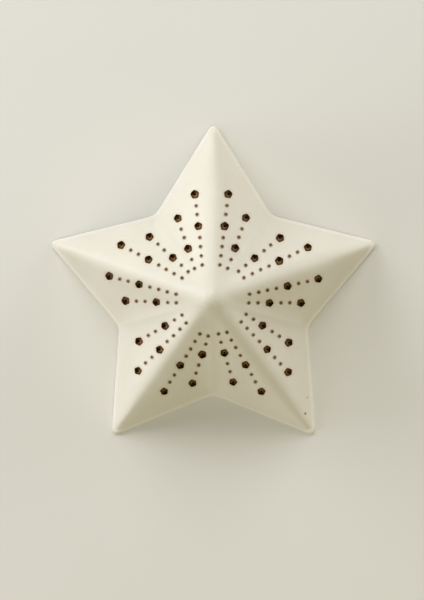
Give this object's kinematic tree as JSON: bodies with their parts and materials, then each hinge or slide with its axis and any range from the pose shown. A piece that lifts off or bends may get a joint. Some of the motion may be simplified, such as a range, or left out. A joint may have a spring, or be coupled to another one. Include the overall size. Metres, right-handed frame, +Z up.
{
  "type": "tealight holder",
  "caption": "Pierced ceramic five-pointed star, hollow underneath, that stands over a tealight and lifts off it.",
  "frame": {"origin": "on the table under the apex, which is the centre of the cup's flat bottom", "axes": "+Z up through the apex, +Y towards one tip of the star"},
  "size_m": [0.181, 0.1723, 0.075],
  "materials": {
    "cover_ceramic": "satin warm white glaze",
    "cup_foil": "drawn foil",
    "wax": "paraffin wax, waxy",
    "tab_steel": "stamped tinplate",
    "wick_cotton": "braided cotton, waxed"
  },
  "bodies": {
    "tealight": {"tealight_cup": "cup_foil", "tealight_wax": "wax", "wick_tab": "tab_steel", "wick": "wick_cotton"},
    "cover": {"star_cover": "cover_ceramic"}
  },
  "joints": [
    {"name": "cover_lift", "type": "slide", "parent": "tealight", "child": "cover", "axis": [0, 0, 1], "range_m": [0, 0.06]}
  ]
}
